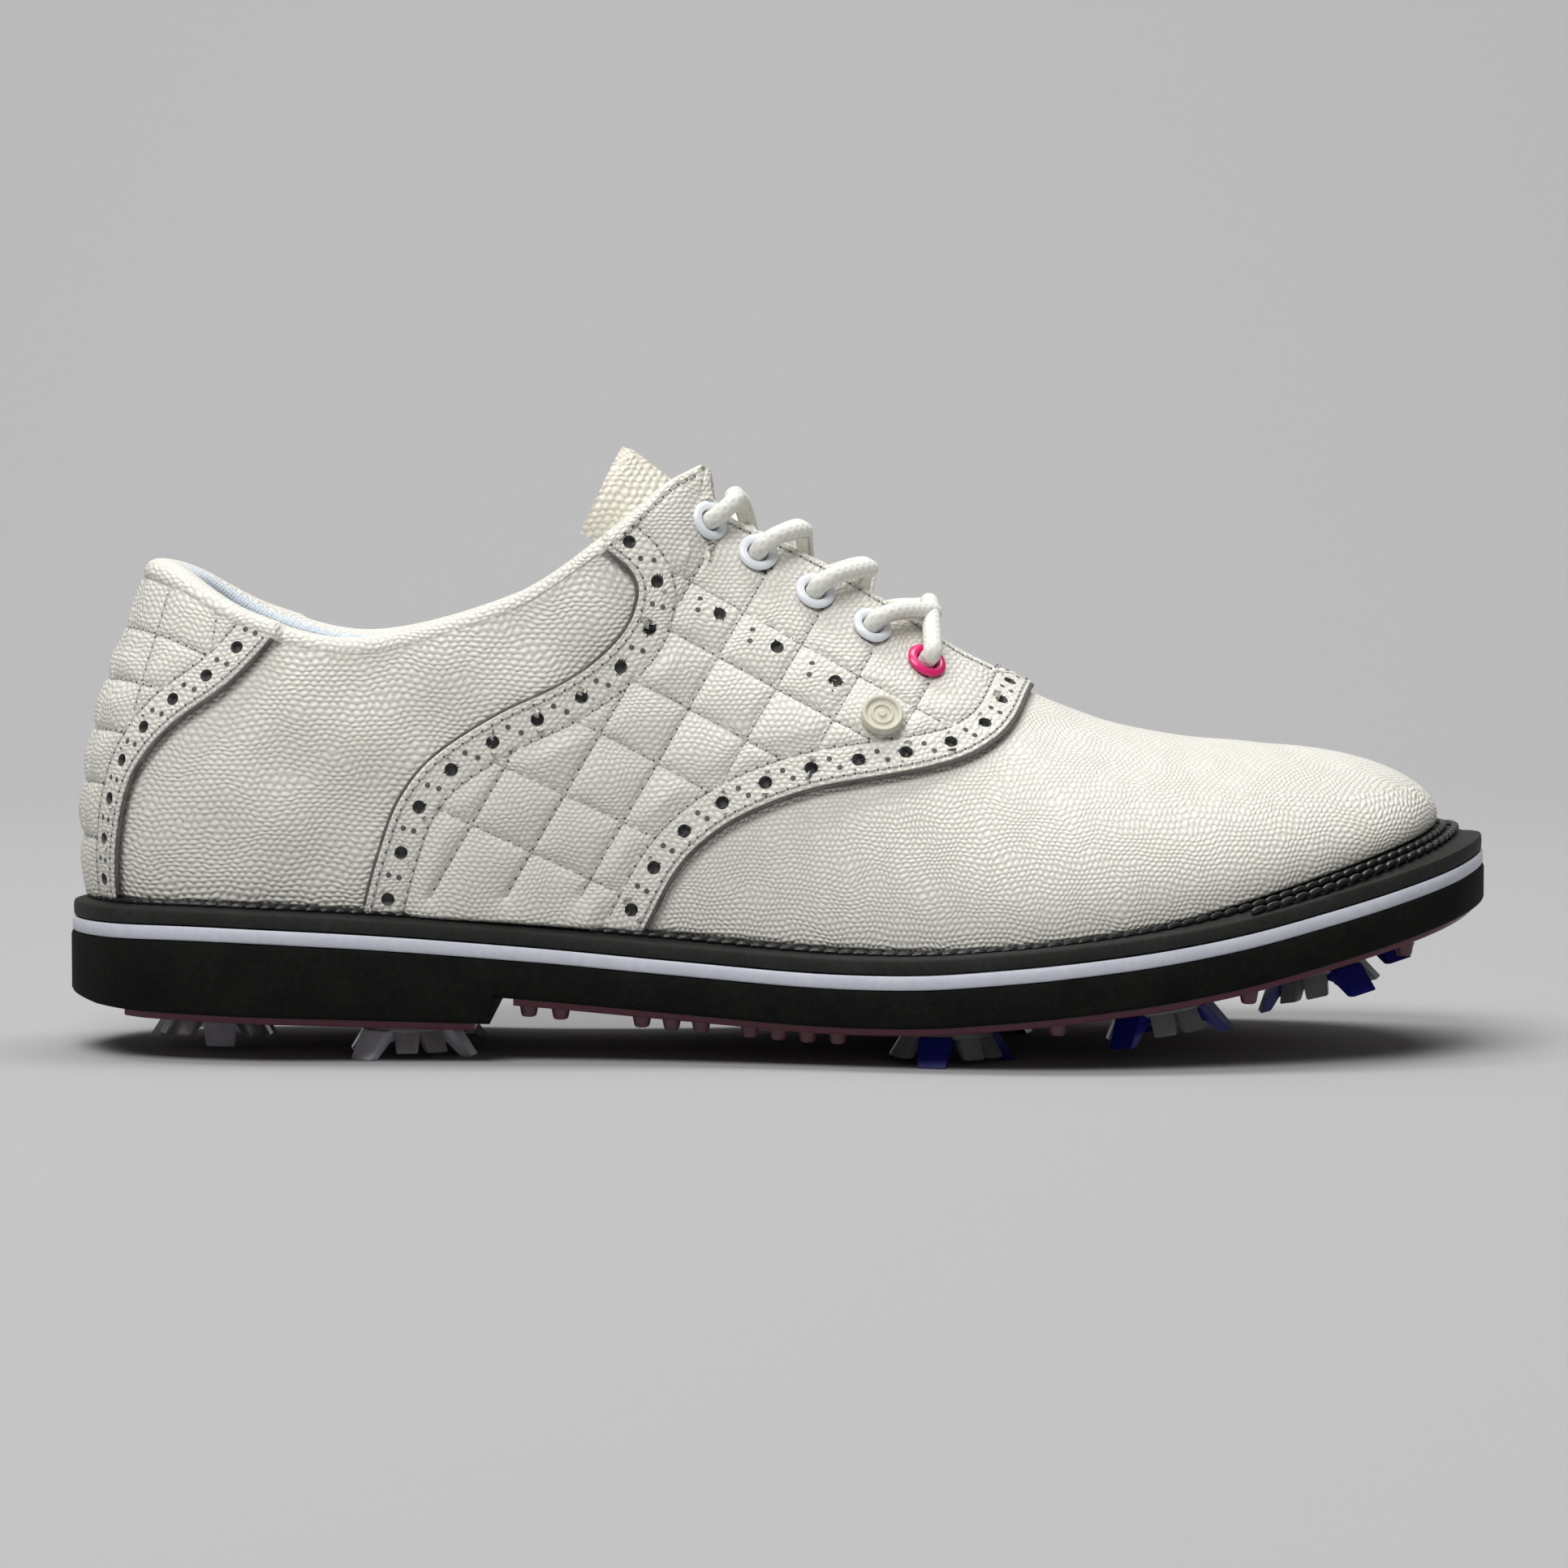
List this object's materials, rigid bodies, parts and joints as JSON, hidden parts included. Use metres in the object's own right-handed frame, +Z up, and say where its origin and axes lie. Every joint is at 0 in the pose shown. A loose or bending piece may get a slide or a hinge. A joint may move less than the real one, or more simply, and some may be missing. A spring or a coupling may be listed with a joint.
{
  "type": "golf shoe",
  "caption": "Low-cut saddle oxford golf shoe with punched leather overlays, a laced throat, a layered welted sole and turn-to-lock soft cleats.",
  "frame": {"origin": "centre of the bounding box's base, on the floor under the cleats", "axes": "+X to the toe, +Y to the inner (medial) side, +Z up"},
  "size_m": [0.302, 0.1104, 0.1283],
  "materials": {
    "white_leather": "pebbled, satin",
    "tongue_leather": "coarse pebbles, satin",
    "lining_fabric": "matte",
    "collar_foam": "matte",
    "stiffener_sheet": "matte",
    "white_plastic": "satin",
    "pink_plastic": "satin",
    "lace_cotton": "matte",
    "badge_rubber": "satin",
    "welt_rubber": "matte",
    "stripe_rubber": "matte",
    "midsole_rubber": "matte",
    "burgundy_tpu": "glossy",
    "board": "matte",
    "cork": "matte",
    "steel": "satin",
    "footbed_foam": "matte",
    "receptacle_nylon": "satin",
    "clear_tpu": "glossy",
    "blue_tpu": "glossy"
  },
  "bodies": {
    "shoe": {"aglet_lateral": "clear_tpu", "aglet_medial": "clear_tpu", "bottom_filler": "cork", "collar_padding": "collar_foam", "eyelet_lateral_1": "white_plastic", "eyelet_lateral_2": "white_plastic", "eyelet_lateral_3": "white_plastic", "eyelet_lateral_4": "white_plastic", "eyelet_lateral_5": "pink_plastic", "eyelet_medial_1": "white_plastic", "eyelet_medial_2": "white_plastic", "eyelet_medial_3": "white_plastic", "eyelet_medial_4": "white_plastic", "eyelet_medial_5": "pink_plastic", "footbed": "footbed_foam", "heel_cover": "white_leather", "heel_stiffener": "stiffener_sheet", "insole_board": "board", "lace": "lace_cotton", "midsole": "midsole_rubber", "outsole_forefoot": "burgundy_tpu", "outsole_heel": "burgundy_tpu", "quarter_lateral": "white_leather", "quarter_lining_lateral": "lining_fabric", "quarter_lining_medial": "lining_fabric", "quarter_medial": "white_leather", "receptacle_ball_lateral": "receptacle_nylon", "receptacle_ball_medial": "receptacle_nylon", "receptacle_heel_lateral": "receptacle_nylon", "receptacle_heel_medial": "receptacle_nylon", "receptacle_heel_rear": "receptacle_nylon", "receptacle_toe_lateral": "receptacle_nylon", "receptacle_toe_medial": "receptacle_nylon", "receptacle_waist_lateral": "receptacle_nylon", "receptacle_waist_medial": "receptacle_nylon", "saddle_lateral": "white_leather", "saddle_medial": "white_leather", "side_badge": "badge_rubber", "steel_shank": "steel", "toe_puff": "stiffener_sheet", "vamp": "white_leather", "vamp_lining": "lining_fabric", "welt": "welt_rubber", "white_stripe": "stripe_rubber"},
    "tongue": {"tongue": "tongue_leather"},
    "cleat_heel_rear": {"cleat_heel_rear": "clear_tpu"},
    "cleat_heel_lateral": {"cleat_heel_lateral": "clear_tpu"},
    "cleat_heel_medial": {"cleat_heel_medial": "clear_tpu"},
    "cleat_waist_lateral": {"cleat_waist_lateral": "blue_tpu"},
    "cleat_waist_medial": {"cleat_waist_medial": "blue_tpu"},
    "cleat_ball_lateral": {"cleat_ball_lateral": "blue_tpu"},
    "cleat_ball_medial": {"cleat_ball_medial": "blue_tpu"},
    "cleat_toe_lateral": {"cleat_toe_lateral": "blue_tpu"},
    "cleat_toe_medial": {"cleat_toe_medial": "blue_tpu"}
  },
  "joints": [
    {"name": "tongue_hinge", "type": "hinge", "parent": "shoe", "child": "tongue", "pos_m": [0.062, 0, 0.0638], "axis": [0, 1, 0], "range_deg": [-8, 0], "stiffness_Nm_per_rad": 0.3},
    {"name": "heel_rear_cleat_turn", "type": "hinge", "parent": "shoe", "child": "cleat_heel_rear", "pos_m": [-0.12, -0.002, 0.00845], "axis": [-0.0284, 0, -0.9996], "range_deg": [0, 60]},
    {"name": "heel_lateral_cleat_turn", "type": "hinge", "parent": "shoe", "child": "cleat_heel_lateral", "pos_m": [-0.078, -0.018, 0.00698], "axis": [0, 0, -1], "range_deg": [0, 60]},
    {"name": "heel_medial_cleat_turn", "type": "hinge", "parent": "shoe", "child": "cleat_heel_medial", "pos_m": [-0.078, 0.018, 0.00698], "axis": [0, 0, -1], "range_deg": [0, 60]},
    {"name": "waist_lateral_cleat_turn", "type": "hinge", "parent": "shoe", "child": "cleat_waist_lateral", "pos_m": [0.035, -0.031, 0.00708], "axis": [0, 0, -1], "range_deg": [0, 60]},
    {"name": "waist_medial_cleat_turn", "type": "hinge", "parent": "shoe", "child": "cleat_waist_medial", "pos_m": [0.041, 0.027, 0.00708], "axis": [0, 0, -1], "range_deg": [0, 60]},
    {"name": "ball_lateral_cleat_turn", "type": "hinge", "parent": "shoe", "child": "cleat_ball_lateral", "pos_m": [0.079, -0.034, 0.01245], "axis": [0.1526, 0, -0.9883], "range_deg": [0, 60]},
    {"name": "ball_medial_cleat_turn", "type": "hinge", "parent": "shoe", "child": "cleat_ball_medial", "pos_m": [0.085, 0.036, 0.01344], "axis": [0.1713, 0, -0.9852], "range_deg": [0, 60]},
    {"name": "toe_lateral_cleat_turn", "type": "hinge", "parent": "shoe", "child": "cleat_toe_lateral", "pos_m": [0.113, -0.022, 0.01965], "axis": [0.2438, 0, -0.9698], "range_deg": [0, 60]},
    {"name": "toe_medial_cleat_turn", "type": "hinge", "parent": "shoe", "child": "cleat_toe_medial", "pos_m": [0.125, 0.017, 0.02271], "axis": [0.2518, 0, -0.9678], "range_deg": [0, 60]}
  ]
}
